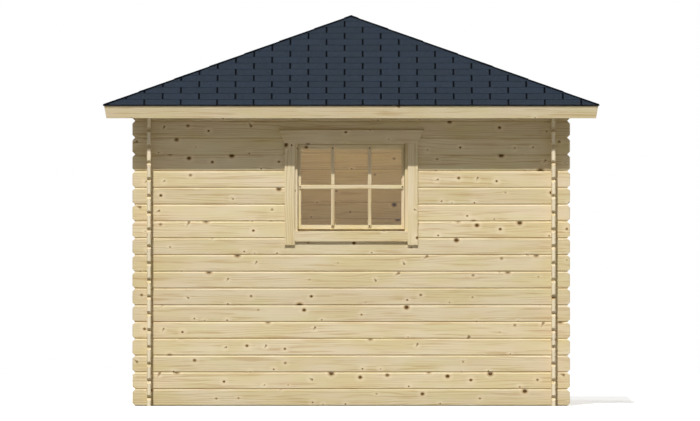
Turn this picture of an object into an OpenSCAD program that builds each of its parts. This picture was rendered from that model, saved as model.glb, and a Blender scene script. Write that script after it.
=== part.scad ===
// Log cabin with interlocking wall logs and a four-sided shingled roof.
// Millimetres, +Z up, origin on the ground at the middle of the cabin.
// The window wall faces -Y and the doorway faces +X.

/* [Cabin] */
// Distance between the outer faces of opposite walls
wall_span = 2800; // [2400:10:3600]
// Length of a log that runs on past the crossing wall
log_overhang = 100; // [60:5:150]
// Whole courses in the front and back walls, below the sloped top log
course_count = 18; // [17:1:22]
// Height of the sloped top log of the front wall, at its outer face
top_log_h = 76; // [70:1:110]

/* [Logs] */
// Thickness of a log
log_t = 28; // [24:1:44]
// Height that one log adds to the wall
log_h = 115; // [105:1:140]
// Height of the bevel along the long edges of a log
bevel_h = 8.5; // [4:0.5:14]
// Depth of that bevel
bevel_d = 6; // [3:0.5:8]
// Width of the tongue on top of a log
tongue_w = 9; // [6:0.5:10]
// Height of the tongue
tongue_h = 7; // [4:0.5:10]
// Play between a tongue and its groove, on each side
tongue_play = 0.5; // [0.2:0.1:1]
// Play between a notch and the crossing log, on each side
notch_play = 0.3; // [0.1:0.1:0.8]
// Corner cut across the top and bottom of a log's end
end_bevel = 19; // [10:1:25]
// Corner cut down the upright edges of a log's end
end_edge_bevel = 6; // [2:1:8]

/* [Roof] */
// Slope of the roof in degrees
pitch = 20; // [14:1:28]
// Distance from the outer wall face to the edge of the shingles
eave_overhang = 300; // [220:10:400]
// Thickness of the roof boards
roof_board_t = 18; // [15:1:24]
// Thickness of the shingle covering
shingle_t = 9; // [6:1:14]
// Distance that the shingles run past the fascia
shingle_drip = 9; // [4:1:20]
// Height of the fascia board along its face
fascia_h = 88; // [70:1:120]
// Thickness of the fascia board
fascia_t = 18; // [15:1:24]
// Inward lean of the fascia at its foot in degrees
fascia_lean = 10.5; // [0:0.5:15]
// Width of a rafter
rafter_w = 45; // [35:1:60]
// Upright depth of a rafter inside the walls
rafter_d = 90; // [70:1:130]
// Upright depth of a rafter tail over the wall
tail_d = 35; // [25:1:42]
// Play between a rafter tail and its slot in the top log, on each side
tail_play = 0.5; // [0.2:0.1:1]
// Margin that the block at the peak has on both sides of a rafter together
king_margin = 5; // [2:1:12]
// Distance that the block at the peak reaches below the rafters
king_drop = 20; // [0:5:60]
// Width of the hip cap on each side of the hip, seen from above
hip_cap_leg = 18; // [12:1:40]
// Thickness of the hip cap
hip_cap_t = 3.5; // [2:0.5:6]

/* [Frames] */
// Play between a frame and the cut logs
frame_play = 3; // [1:0.5:6]
// Thickness of the stop at the inner edge of a frame
stop_t = 13; // [8:1:20]
// Distance that the stop stands in past its frame
stop_lap = 15; // [8:1:25]
// Thickness of the glass
glass_t = 4; // [3:0.5:6]
// Depth of the glass edge in its rebate
glass_lap = 7; // [4:0.5:10]
// Distance from the face of a sash or leaf to the glass
glass_setback = 14; // [8:1:18]

/* [Casings] */
// Width of the upright casing boards
casing_w = 70; // [50:1:100]
// Thickness of the casing boards
casing_t = 18; // [14:1:24]
// Width of frame that a side casing covers
casing_lap = 28; // [15:1:34]
// Height of the casing board over a window or door
head_casing_h = 90; // [70:1:120]
// Distance that each end of the head casing slants outwards to its top
head_casing_slant = 43; // [0:1:60]
// Height of frame that shows under the head casing
head_reveal = 8; // [2:1:20]
// Height of the casing board under the window
sill_casing_h = 72; // [55:1:100]
// Distance that the side casings run on below the sill
casing_horn = 24; // [0:1:50]

/* [Window] */
// Whole courses below the window gap
window_course = 10; // [8:1:11]
// Courses cut away for the window
window_courses = 6; // [5:1:6]
// Width of the window gap in the logs
window_gap_w = 836; // [700:2:1000]
// Face width of the window jambs
window_jamb_w = 48; // [40:1:60]
// Height of the window frame's head
window_head_h = 43; // [35:1:60]
// Height of the window frame's sill
window_sill_h = 50; // [40:1:70]
// Distance from the wall face to the sash
sash_recess = 35; // [20:1:45]
// Thickness of the sash
sash_t = 32; // [28:1:45]
// Gap beside and above the sash
sash_gap = 2; // [1:0.5:4]
// Gap below the sash
sash_foot_gap = 12; // [4:1:14]
// Width of the sash stiles
sash_stile_w = 21; // [18:1:45]
// Height of the lower sash rail
sash_foot_rail_h = 29; // [20:1:60]
// Height of the upper sash rail
sash_head_rail_h = 31; // [20:1:60]

/* [Door] */
// Courses cut away for the door, above the half log at the foot of the wall
door_courses = 16; // [15:1:16]
// Width of the door gap in the logs
door_gap_w = 1500; // [1200:10:1700]
// Face width of the door jambs
door_jamb_w = 40; // [36:1:60]
// Height of the door frame's head
door_head_h = 40; // [30:1:60]
// Height of the threshold
threshold_h = 25; // [18:1:40]
// Distance that the threshold stands out from the wall face
threshold_nose = 20; // [0:1:40]
// Distance from the wall face to the door leaves
leaf_recess = 8; // [2:1:15]
// Thickness of a door leaf
leaf_t = 40; // [34:1:50]
// Gap round a door leaf
leaf_gap = 3; // [2:0.5:6]
// Width of the upright frame members of a leaf
leaf_stile_w = 95; // [70:1:120]
// Height of the top member of a leaf
leaf_head_h = 95; // [70:1:140]
// Height of the middle member of a leaf
leaf_lock_h = 110; // [80:1:160]
// Height of the bottom member of a leaf
leaf_foot_h = 160; // [100:1:220]
// Height of the lower panel of a leaf
leaf_panel_h = 640; // [400:10:760]
// Depth that the lower panel lies back on both faces
panel_recess = 11; // [6:1:15]
// Width of the handle plate
handle_plate_w = 42; // [30:1:55]
// Height of the handle plate
handle_plate_h = 210; // [140:5:260]
// Thickness of the handle plate
handle_plate_t = 6; // [3:1:10]
// Diameter of the lever and its neck
lever_d = 18; // [12:1:24]
// Length of the lever
lever_l = 120; // [90:5:150]
// Distance from the handle plate to the middle of the lever
lever_out = 42; // [30:1:60]
// Diameter of the lock cylinder under the lever
lock_d = 17; // [12:1:24]
// Distance that the lock cylinder stands out from the handle plate
lock_out = 3; // [1:0.5:8]
// Height of a hinge barrel
hinge_h = 75; // [50:5:110]
// Diameter of a hinge barrel
hinge_d = 12; // [8:1:14]
// Diameter of the pin through a hinge barrel
hinge_pin_d = 8; // [5:0.5:10]
// Length of pin that shows above and below a hinge barrel
hinge_pin_out = 4; // [1:0.5:8]
// Gap between the knuckles of a hinge barrel
knuckle_gap = 1; // [0.5:0.5:2]
// Depth of the hinge plates between leaf and jamb
hinge_plate_d = 30; // [15:1:36]

/* [Hidden] */
// Knuckles of a hinge barrel
knuckle_count = 3;
// Shares of a leaf's height at which its hinges sit
hinge_shares = [0.12, 0.5, 0.88];
// Share of the gap beside a leaf that the closed hinge plates fill
hinge_plate_share = 0.8;
// Overrun of every cut past the face it leaves
overrun = 30;
// Share of a log's height that each notch takes
notch_share = 1 / 4;
// Share of a log in the lowest course of the side walls
half_log_share = 1 / 2;
// Share of the handle plate's height from its middle up to the lever
lever_share = 1 / 4;
// Share of the middle member's height at which the handle is centred
handle_share = 1 / 2;
// Share of a run along a hip that is run across either wall
hip_share = sqrt(2) / 2;

half_t = log_t / 2;
half_span = wall_span / 2;
wall_mid = half_span - half_t;
inner_face = half_span - log_t;
log_end = half_span + log_overhang;
notch_d = log_h * notch_share;
half_log_h = log_h * half_log_share;
flat_half = half_t - bevel_d;
groove_half = tongue_w / 2 + tongue_play;
groove_d = tongue_h + tongue_play;

roof_rise = tan(pitch);
wall_top = course_count * log_h + top_log_h;
apex_boards = wall_top + half_span * roof_rise;
apex_shingles = apex_boards + roof_board_t / cos(pitch);
apex_top = apex_shingles + shingle_t / cos(pitch);
apex_cap = apex_top + hip_cap_t / cos(pitch);
eave_half = half_span + eave_overhang;
fascia_half = eave_half - shingle_drip;
fascia_top = apex_shingles - fascia_half * roof_rise;
reach = 2 * eave_half;
king_face = rafter_w + king_margin;
king_half = king_face * (1 + sqrt(2)) / 2;
king_foot = apex_boards - king_half * roof_rise - rafter_d - king_drop;
hip_seat = inner_face / hip_share - rafter_w / 2;

window_foot = window_course * log_h;
window_top = window_foot + window_courses * log_h;
window_frame_half = window_gap_w / 2 - frame_play;
window_clear_half = window_frame_half - window_jamb_w;
window_frame_top = window_top - frame_play;
window_clear_top = window_frame_top - window_head_h;
window_clear_foot = window_foot + window_sill_h;
sash_back = sash_recess + sash_t;
sash_half = window_clear_half - sash_gap;
sash_foot = window_clear_foot + sash_foot_gap;
sash_top = window_clear_top - sash_gap;
pane_half = sash_half - sash_stile_w;
pane_foot = sash_foot + sash_foot_rail_h;
pane_top = sash_top - sash_head_rail_h;

door_foot = half_log_h;
door_top = door_foot + door_courses * log_h;
door_frame_half = door_gap_w / 2 - frame_play;
door_clear_half = door_frame_half - door_jamb_w;
door_frame_top = door_top - frame_play;
door_clear_top = door_frame_top - door_head_h;
door_clear_foot = door_foot + threshold_h;
leaf_back = leaf_recess + leaf_t;
leaf_outer = door_clear_half - leaf_gap;
leaf_inner = leaf_gap / 2;
leaf_foot = door_clear_foot + leaf_gap;
leaf_top = door_clear_top - leaf_gap;
panel_foot = leaf_foot + leaf_foot_h;
panel_top = panel_foot + leaf_panel_h;
door_pane_foot = panel_top + leaf_lock_h;
door_pane_top = leaf_top - leaf_head_h;
handle_mid = panel_top + leaf_lock_h * handle_share;
knuckle_h = hinge_h / knuckle_count;
hinge_plate_t = leaf_gap * hinge_plate_share;

FRONT = 0;
RIGHT = 90;
BACK = 180;
LEFT = 270;
CORNER = 45;

// Edge of a log's section or side view at its foot, from left to right.
// half is half its width, cut_w and cut_h the size of its corner cuts.
function foot_edge(foot, half, cut_w, cut_h) =
    foot == "sawn"
        ? [[-half, 0], [half, 0]]
        : [[-half, cut_h], [cut_w - half, 0], [half - cut_w, 0], [half, cut_h]];

// The same edge at its top, from right to left, with a tongue of half width tongue.
function top_edge(top, half, cut_w, cut_h, tongue, height) =
    top == "sawn"
        ? [[half, height], [-half, height]]
        : [
            [half, height - cut_h], [half - cut_w, height],
            [tongue, height], [tongue, height + tongue_h],
            [-tongue, height + tongue_h], [-tongue, height],
            [cut_w - half, height], [-half, height - cut_h]
        ];

// Section of a log: bevelled edges and a tongue on top.
module log_section(foot, top, height) {
    polygon(concat(
        foot_edge(foot, half_t, bevel_d, bevel_h),
        top_edge(top, half_t, bevel_d, bevel_h, tongue_w / 2, height)
    ));
}

// Side view of a log: corner cuts at both ends.
module log_side_view(foot, top, height) {
    tongue_end = log_end - end_bevel - end_edge_bevel;
    polygon(concat(
        foot_edge(foot, log_end, end_bevel, end_bevel),
        top_edge(top, log_end, end_bevel, end_bevel, tongue_end, height)
    ));
}

// Top view of a log: corner cuts down the upright edges of its ends.
module log_top_view() {
    flat = log_end - end_edge_bevel;
    side = half_t - end_edge_bevel;
    polygon([
        [-log_end, -side], [-flat, -half_t], [flat, -half_t], [log_end, -side],
        [log_end, side], [flat, half_t], [-flat, half_t], [-log_end, side]
    ]);
}

// A log along X with its foot at zero, without its notches.
module log_blank(foot, top, height) {
    intersection() {
        rotate([90, 0, 90])
            linear_extrude(height = reach, center = true)
                log_section(foot, top, height);
        rotate([90, 0, 0])
            linear_extrude(height = log_t + overrun, center = true)
                log_side_view(foot, top, height);
        linear_extrude(height = height + tongue_h + overrun)
            log_top_view();
    }
}

// Notches for the crossing logs, from level low to level high.
module crossing_notches(low, high) {
    notch_w = log_t + 2 * notch_play;
    for (side = [-1, 1])
        translate([side * wall_mid - notch_w / 2, -half_t - overrun, low])
            cube([notch_w, log_t + 2 * overrun, high - low]);
}

// Groove under a log for the tongue below it.
module tongue_groove() {
    translate([-log_end - overrun, -groove_half, -overrun])
        cube([2 * (log_end + overrun), 2 * groove_half, groove_d + overrun]);
}

// Space over the roof plane that rises from one eave to the given apex.
module above_plane(turn, apex) {
    rotate([0, 0, turn])
        translate([0, 0, apex])
            rotate([pitch, 0, 0])
                translate([-reach, -reach, 0])
                    cube([2 * reach, 2 * reach, reach]);
}

// Space over a pyramid with the given apex.
module above_roof(apex) {
    for (turn = [FRONT, RIGHT, BACK, LEFT])
        above_plane(turn, apex);
}

// Space below the roof plane that rises from one eave to the given apex.
module below_plane(turn, apex) {
    rotate([0, 0, turn])
        translate([0, 0, apex])
            rotate([pitch, 0, 0])
                translate([-reach, -reach, -reach])
                    cube([2 * reach, 2 * reach, reach]);
}

// Space outside the inner face of one fascia board.
module outside_fascia(turn) {
    rotate([0, 0, turn])
        translate([0, -fascia_half, fascia_top])
            rotate([fascia_lean, 0, 0])
                translate([-reach, -reach, -reach])
                    cube([2 * reach, reach + fascia_t, 2 * reach]);
}

// Upright prism over the quarter of the plan that one roof side covers.
module roof_quarter(turn) {
    rotate([0, 0, turn])
        linear_extrude(height = apex_cap + overrun)
            polygon([[0, 0], [-eave_half, -eave_half], [eave_half, -eave_half]]);
}

// A plate along a rafter's run, with its side view in run and height.
module along_run(turn, width) {
    rotate([0, 0, turn - RIGHT])
        rotate([90, 0, 0])
            linear_extrude(height = width, center = true)
                children();
}

// Height of a rafter's top edge at a run from the middle of the cabin.
function rafter_top(run, share) = apex_boards - run * roof_rise * share;

// Slot for a rafter tail through the top logs.
module tail_slot(turn, share) {
    near = inner_face - overrun;
    far = reach;
    along_run(turn, rafter_w + 2 * tail_play)
        polygon([
            [near, rafter_top(near, share) + overrun], [far, rafter_top(far, share) + overrun],
            [far, rafter_top(far, share) - tail_d], [near, rafter_top(near, share) - tail_d]
        ]);
}

// A rafter from the block at the peak to the fascia, notched over the wall.
module rafter(turn, share, seat) {
    far = reach;
    difference() {
        along_run(turn, rafter_w)
            polygon([
                [king_half, rafter_top(king_half, share) + overrun],
                [far, rafter_top(far, share) + overrun],
                [far, rafter_top(far, share) - tail_d],
                [seat, rafter_top(seat, share) - tail_d],
                [seat, rafter_top(seat, share) - rafter_d],
                [king_half, rafter_top(king_half, share) - rafter_d]
            ]);
        above_roof(apex_boards);
        for (side = [FRONT, RIGHT, BACK, LEFT])
            outside_fascia(side);
    }
}

// A whole log with its groove and its notches at both corners.
// foot_notch and top_notch are the levels of the notches, or zero where there is none.
module wall_log(foot, top, height, foot_notch, top_notch) {
    difference() {
        log_blank(foot, top, height);
        if (foot_notch > 0)
            crossing_notches(-overrun, foot_notch);
        if (top_notch > 0)
            crossing_notches(top_notch, height + tongue_h + overrun);
    }
}

// Moves what stands in the window wall to another wall.
// There X runs along the wall and Y inwards from its outer face.
module in_wall(turn) {
    rotate([0, 0, turn])
        translate([0, -half_span, 0])
            children();
}

// Level of a course's foot, where offset is the height that the half log takes off.
function course_foot(course, offset) = course == 0 ? 0 : course * log_h - offset;

// Level of a course's top.
function course_top(course, offset) = (course + 1) * log_h - offset;

// One course of a wall whose joints lie lower by offset than the front wall's.
module course_log(course, offset) {
    foot_level = course_foot(course, offset);
    lowest = course == 0;
    highest = course == course_count;
    log_height = highest ? wall_top + log_t * roof_rise + overrun - foot_level
                         : course_top(course, offset) - foot_level;
    on_ground_half = lowest && offset > 0;
    foot = on_ground_half ? "sawn" : "bevelled";
    top = highest ? "sawn" : "tongued";
    foot_notch = on_ground_half ? 0 : notch_d;
    top_notch = !highest ? log_height - notch_d
                         : offset > 0 ? log_h - notch_d : 0;
    translate([0, half_t, foot_level])
        difference() {
            wall_log(foot, top, log_height, foot_notch, top_notch);
            if (!lowest)
                tongue_groove();
        }
}

// A course of the wall on the given side, with the top course cut to the roof and rafters.
module placed_course(turn, course, offset) {
    difference() {
        in_wall(turn)
            course_log(course, offset);
        if (course == course_count) {
            for (side = [turn - RIGHT, turn, turn + RIGHT])
                above_plane(side, apex_boards);
            tail_slot(turn, 1);
            for (side = [turn - CORNER, turn + CORNER])
                tail_slot(side, hip_share);
        }
    }
}

// Every other course of a wall, with a gap from gap_course over gap_courses where there is one.
module wall_logs(turn, first, offset, gap_w, gap_course, gap_courses) {
    for (course = [first : 2 : course_count]) {
        under_gap = course == gap_course - 1;
        in_gap = course >= gap_course && course < gap_course + gap_courses;
        low = under_gap ? course_top(course, offset) : course_foot(course, offset) - overrun;
        difference() {
            placed_course(turn, course, offset);
            if (gap_courses > 0 && (under_gap || in_gap))
                in_wall(turn)
                    translate([-gap_w / 2, -overrun, low])
                        cube([gap_w, log_t + 2 * overrun, log_h + 2 * overrun]);
        }
    }
}

module front_logs(first) {
    color("burlywood")
        wall_logs(FRONT, first, 0, window_gap_w, window_course, window_courses);
}

module back_logs(first) {
    color("burlywood")
        wall_logs(BACK, first, 0, 0, 0, 0);
}

module left_logs(first) {
    color("burlywood")
        wall_logs(LEFT, first, half_log_h, 0, 0, 0);
}

module right_logs(first) {
    color("burlywood")
        wall_logs(RIGHT, first, half_log_h, door_gap_w, 1, door_courses);
}

// Eight-sided block at the peak that all rafters meet.
module king_block() {
    color("tan")
        difference() {
            translate([0, 0, king_foot])
                rotate([0, 0, CORNER / 2])
                    cylinder(r = king_half / cos(CORNER / 2), h = apex_boards - king_foot, $fn = 8);
            above_roof(apex_boards);
        }
}

module hip_rafters() {
    color("tan")
        for (turn = [FRONT, RIGHT, BACK, LEFT])
            rafter(turn + CORNER, hip_share, hip_seat);
}

module common_rafters() {
    color("tan")
        for (turn = [FRONT, RIGHT, BACK, LEFT])
            rafter(turn, 1, inner_face);
}

// One side of a roof layer with its underside at the given apex.
module roof_layer(turn, apex, thickness) {
    intersection() {
        rotate([0, 0, turn])
            translate([0, 0, apex])
                rotate([pitch, 0, 0])
                    translate([-reach, -reach, 0])
                        cube([2 * reach, 2 * reach, thickness]);
        roof_quarter(turn);
    }
}

module roof_boards(turn) {
    color("wheat")
        difference() {
            roof_layer(turn, apex_boards, roof_board_t);
            outside_fascia(turn);
        }
}

module shingles(turn) {
    color("darkslategray")
        roof_layer(turn, apex_shingles, shingle_t);
}

module fascia(turn) {
    color("burlywood")
        intersection() {
            difference() {
                rotate([0, 0, turn])
                    translate([0, -fascia_half, fascia_top])
                        rotate([fascia_lean, 0, 0])
                            translate([-reach, 0, -fascia_h])
                                cube([2 * reach, fascia_t, fascia_h + overrun]);
                above_plane(turn, apex_shingles);
            }
            roof_quarter(turn);
        }
}

// Folded strip over the hip that runs to the corner right of the given side.
module hip_cap(turn) {
    leg = hip_cap_leg / hip_share;
    color("dimgray")
        difference() {
            rotate([0, 0, turn])
                linear_extrude(height = apex_cap + overrun)
                    polygon([
                        [0, 0], [0, -leg], [eave_half - leg, -eave_half],
                        [eave_half, -eave_half], [eave_half, leg - eave_half], [leg, 0]
                    ]);
            above_plane(turn, apex_cap);
            above_plane(turn + RIGHT, apex_cap);
            intersection() {
                below_plane(turn, apex_top);
                below_plane(turn + RIGHT, apex_top);
            }
        }
}

// A box between two corners.
module box(low, high) {
    translate(low)
        cube(high - low);
}

// The two uprights of a rebated frame: clear of each other by the face half width in front
// and by the stop half width behind.
module uprights(outer, face, stop, foot, top, front, step, back) {
    for (side = [0, 1])
        mirror([side, 0, 0])
            union() {
                box([face, front, foot], [outer, step, top]);
                box([stop, step, foot], [outer, back, top]);
            }
}

// A crosspiece between two uprights, with its edges at other heights in front and behind.
module crosspiece(face, stop, outer_z, face_z, stop_z, front, step, back) {
    union() {
        box([-face, front, min(outer_z, face_z)], [face, step, max(outer_z, face_z)]);
        box([-stop, step, min(outer_z, stop_z)], [stop, back, max(outer_z, stop_z)]);
    }
}

// Board over a window or door, with ends that slant outwards to the top.
module head_casing(half, foot) {
    rotate([90, 0, 0])
        linear_extrude(height = casing_t)
            polygon([
                [-half, foot], [half, foot],
                [half + head_casing_slant, foot + head_casing_h],
                [-half - head_casing_slant, foot + head_casing_h]
            ]);
}

// Boards at both sides of a window or door.
module side_casings(inner, foot, top) {
    for (side = [0, 1])
        mirror([side, 0, 0])
            box([inner, -casing_t, foot], [inner + casing_w, 0, top]);
}

window_casing_half = window_frame_half - casing_lap;
door_casing_half = door_frame_half - casing_lap;

module window_head_casing() {
    color("burlywood")
        in_wall(FRONT)
            head_casing(window_casing_half + casing_w, window_clear_top + head_reveal);
}

module window_side_casings() {
    color("burlywood")
        in_wall(FRONT)
            side_casings(window_casing_half, window_clear_foot - sill_casing_h - casing_horn,
                         window_clear_top + head_reveal);
}

module window_sill_casing() {
    color("burlywood")
        in_wall(FRONT)
            box([-window_casing_half, -casing_t, window_clear_foot - sill_casing_h],
                [window_casing_half, 0, window_clear_foot]);
}

module window_jambs() {
    color("wheat")
        in_wall(FRONT)
            uprights(window_frame_half, window_clear_half, window_clear_half - stop_lap,
                     window_foot, window_frame_top, 0, sash_back, sash_back + stop_t);
}

module window_head_and_sill() {
    stop_half = window_clear_half - stop_lap;
    color("wheat")
        in_wall(FRONT) {
            crosspiece(window_clear_half, stop_half, window_frame_top, window_clear_top,
                       window_clear_top - stop_lap, 0, sash_back, sash_back + stop_t);
            crosspiece(window_clear_half, stop_half, window_foot, window_clear_foot,
                       window_clear_foot + stop_lap, 0, sash_back, sash_back + stop_t);
        }
}

module sash_stiles() {
    color("wheat")
        in_wall(FRONT)
            uprights(sash_half, pane_half, pane_half + glass_lap, sash_foot, sash_top,
                     sash_recess, sash_recess + glass_setback, sash_back);
}

module sash_rails() {
    rebate_half = pane_half + glass_lap;
    step = sash_recess + glass_setback;
    color("wheat")
        in_wall(FRONT) {
            crosspiece(pane_half, rebate_half, sash_top, pane_top, pane_top + glass_lap,
                       sash_recess, step, sash_back);
            crosspiece(pane_half, rebate_half, sash_foot, pane_foot, pane_foot - glass_lap,
                       sash_recess, step, sash_back);
        }
}

module window_glass() {
    front = sash_recess + glass_setback;
    half = pane_half + glass_lap;
    color("lightcyan")
        in_wall(FRONT)
            box([-half, front, pane_foot - glass_lap], [half, front + glass_t, pane_top + glass_lap]);
}

module door_head_casing() {
    color("burlywood")
        in_wall(RIGHT)
            head_casing(door_casing_half + casing_w, door_clear_top + head_reveal);
}

module door_side_casings() {
    color("burlywood")
        in_wall(RIGHT)
            side_casings(door_casing_half, door_foot - casing_horn, door_clear_top + head_reveal);
}

module door_jambs() {
    color("wheat")
        in_wall(RIGHT)
            uprights(door_frame_half, door_clear_half, door_clear_half - stop_lap,
                     door_foot, door_frame_top, 0, leaf_back, leaf_back + stop_t);
}

module door_head() {
    color("wheat")
        in_wall(RIGHT)
            crosspiece(door_clear_half, door_clear_half - stop_lap, door_frame_top, door_clear_top,
                       door_clear_top - stop_lap, 0, leaf_back, leaf_back + stop_t);
}

module door_threshold() {
    color("tan")
        in_wall(RIGHT)
            union() {
                crosspiece(door_clear_half, door_clear_half - stop_lap, door_foot, door_clear_foot,
                           door_clear_foot + stop_lap, 0, leaf_back, leaf_back + stop_t);
                box([-door_casing_half, -threshold_nose, door_foot],
                    [door_casing_half, 0, door_clear_foot]);
            }
}

// A leaf with a lower panel and a glazed upper part, to the right of the middle.
module leaf() {
    left = leaf_inner + leaf_stile_w;
    right = leaf_outer - leaf_stile_w;
    difference() {
        box([leaf_inner, leaf_recess, leaf_foot], [leaf_outer, leaf_back, leaf_top]);
        box([left, leaf_recess - overrun, panel_foot], [right, leaf_recess + panel_recess, panel_top]);
        box([left, leaf_back - panel_recess, panel_foot], [right, leaf_back + overrun, panel_top]);
        box([left, leaf_recess - overrun, door_pane_foot], [right, leaf_back + overrun, door_pane_top]);
        box([left - glass_lap, leaf_recess + glass_setback, door_pane_foot - glass_lap],
            [right + glass_lap, leaf_back + overrun, door_pane_top + glass_lap]);
    }
}

module door_leaf_right() {
    color("burlywood")
        in_wall(RIGHT)
            leaf();
}

module door_leaf_left() {
    color("burlywood")
        in_wall(RIGHT)
            mirror([1, 0, 0])
                leaf();
}

module door_glass() {
    front = leaf_recess + glass_setback;
    left = leaf_inner + leaf_stile_w - glass_lap;
    right = leaf_outer - leaf_stile_w + glass_lap;
    color("lightcyan")
        in_wall(RIGHT)
            for (side = [0, 1])
                mirror([side, 0, 0])
                    box([left, front, door_pane_foot - glass_lap],
                        [right, front + glass_t, door_pane_top + glass_lap]);
}

// Plate, lock, neck and lever on the leaf face at depth zero, standing out towards -Y.
module handle_set() {
    box([-handle_plate_w / 2, -handle_plate_t, -handle_plate_h / 2],
        [handle_plate_w / 2, 0, handle_plate_h / 2]);
    translate([0, 0, -handle_plate_h * lever_share])
        rotate([90, 0, 0])
            cylinder(d = lock_d, h = handle_plate_t + lock_out);
    translate([0, -handle_plate_t, handle_plate_h * lever_share]) {
        rotate([90, 0, 0])
            cylinder(d = lever_d, h = lever_out);
        translate([0, -lever_out, 0])
            rotate([0, 90, 0])
                cylinder(d = lever_d, h = lever_l);
        translate([0, -lever_out, 0])
            sphere(d = lever_d);
    }
}

// Handle on both faces of the right leaf, beside the meeting edge.
module door_handle() {
    across = leaf_inner + leaf_stile_w / 2;
    color("silver")
        in_wall(RIGHT) {
            translate([across, leaf_recess, handle_mid])
                handle_set();
            translate([across, leaf_back, handle_mid])
                mirror([0, 1, 0])
                    handle_set();
        }
}

// A closed barrel hinge round Z, centred at zero, with its plates towards +Y.
module hinge() {
    translate([0, 0, -hinge_h / 2]) {
        for (knuckle = [0 : knuckle_count - 1])
            translate([0, 0, knuckle * knuckle_h])
                cylinder(d = hinge_d, h = knuckle_h - knuckle_gap);
        translate([0, 0, -hinge_pin_out])
            cylinder(d = hinge_pin_d, h = hinge_h + 2 * hinge_pin_out - knuckle_gap);
        box([-hinge_plate_t / 2, 0, 0],
            [hinge_plate_t / 2, hinge_d / 2 + hinge_plate_d, hinge_h - knuckle_gap]);
    }
}

// Hinges in the gaps between the leaves and the jambs, with their barrels before the wall face.
module door_hinges() {
    across = (leaf_outer + door_clear_half) / 2;
    color("silver")
        in_wall(RIGHT)
            for (side = [-1, 1], share = hinge_shares)
                translate([side * across, -hinge_d / 2, leaf_foot + (leaf_top - leaf_foot) * share])
                    hinge();
}

front_logs(1);  // front_logs_odd
front_logs(0);  // front_logs_even
back_logs(1);  // back_logs_odd
back_logs(0);  // back_logs_even
left_logs(1);  // left_logs_odd
left_logs(0);  // left_logs_even
right_logs(1);  // right_logs_odd
right_logs(0);  // right_logs_even
king_block();
hip_rafters();
common_rafters();
roof_boards(FRONT);  // roof_boards_front
roof_boards(RIGHT);  // roof_boards_right
roof_boards(BACK);  // roof_boards_back
roof_boards(LEFT);  // roof_boards_left
shingles(FRONT);  // shingles_front
shingles(RIGHT);  // shingles_right
shingles(BACK);  // shingles_back
shingles(LEFT);  // shingles_left
fascia(FRONT);  // fascia_front
fascia(RIGHT);  // fascia_right
fascia(BACK);  // fascia_back
fascia(LEFT);  // fascia_left
hip_cap(FRONT);  // hip_cap_front_right
hip_cap(RIGHT);  // hip_cap_back_right
hip_cap(BACK);  // hip_cap_back_left
hip_cap(LEFT);  // hip_cap_front_left
window_head_casing();
window_side_casings();
window_sill_casing();
window_jambs();
window_head_and_sill();
sash_stiles();
sash_rails();
window_glass();
door_head_casing();
door_side_casings();
door_jambs();
door_head();
door_threshold();
door_leaf_left();
door_leaf_right();
door_glass();
door_handle();
door_hinges();
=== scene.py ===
import math
import random

import bmesh
import bpy
from mathutils import Matrix, Vector


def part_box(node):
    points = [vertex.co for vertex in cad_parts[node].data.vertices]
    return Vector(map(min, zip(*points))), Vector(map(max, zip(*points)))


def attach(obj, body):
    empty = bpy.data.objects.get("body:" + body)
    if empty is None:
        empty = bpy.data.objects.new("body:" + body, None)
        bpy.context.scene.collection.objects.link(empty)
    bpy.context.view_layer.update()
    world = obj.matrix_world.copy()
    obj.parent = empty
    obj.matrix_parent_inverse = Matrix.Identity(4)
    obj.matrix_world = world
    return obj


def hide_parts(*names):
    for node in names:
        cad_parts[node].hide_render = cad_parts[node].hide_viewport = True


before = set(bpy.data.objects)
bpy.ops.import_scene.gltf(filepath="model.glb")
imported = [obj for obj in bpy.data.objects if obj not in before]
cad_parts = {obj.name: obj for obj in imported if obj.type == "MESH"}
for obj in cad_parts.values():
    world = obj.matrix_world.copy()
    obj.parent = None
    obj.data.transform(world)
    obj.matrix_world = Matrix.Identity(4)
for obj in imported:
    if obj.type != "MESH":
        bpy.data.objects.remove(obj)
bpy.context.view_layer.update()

random.seed(28)

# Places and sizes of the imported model, in metres
ROOT = "root"
PITCH = math.radians(20)
SLOPE_COS, SLOPE_SIN, SLOPE_TAN = math.cos(PITCH), math.sin(PITCH), math.tan(PITCH)
FRONT, RIGHT, BACK, LEFT = (math.radians(turn) for turn in (0, 90, 180, 270))
SIDES = {"front": FRONT, "right": RIGHT, "back": BACK, "left": LEFT}
EAVE_HALF = -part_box("shingles_front")[0].y
SHINGLE_BASE_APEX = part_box("roof_boards_front")[1].z
BOARD_BASE_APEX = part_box("king_block")[1].z
WALL_HALF = -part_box("window_jambs")[0].y
WALL_T = 0.028
LOG_HEIGHT = 0.115
GLASS_REBATE = 0.007


# Colours

WHITE = (1.0, 1.0, 1.0, 1.0)


def srgb(red, green, blue):
    """The linear colour of a screen colour from 0 to 255, with an alpha of 1."""
    def linear(level):
        share = level / 255
        return share / 12.92 if share <= 0.04045 else ((share + 0.055) / 1.055) ** 2.4
    return (linear(red), linear(green), linear(blue), 1.0)


# Building of materials

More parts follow.
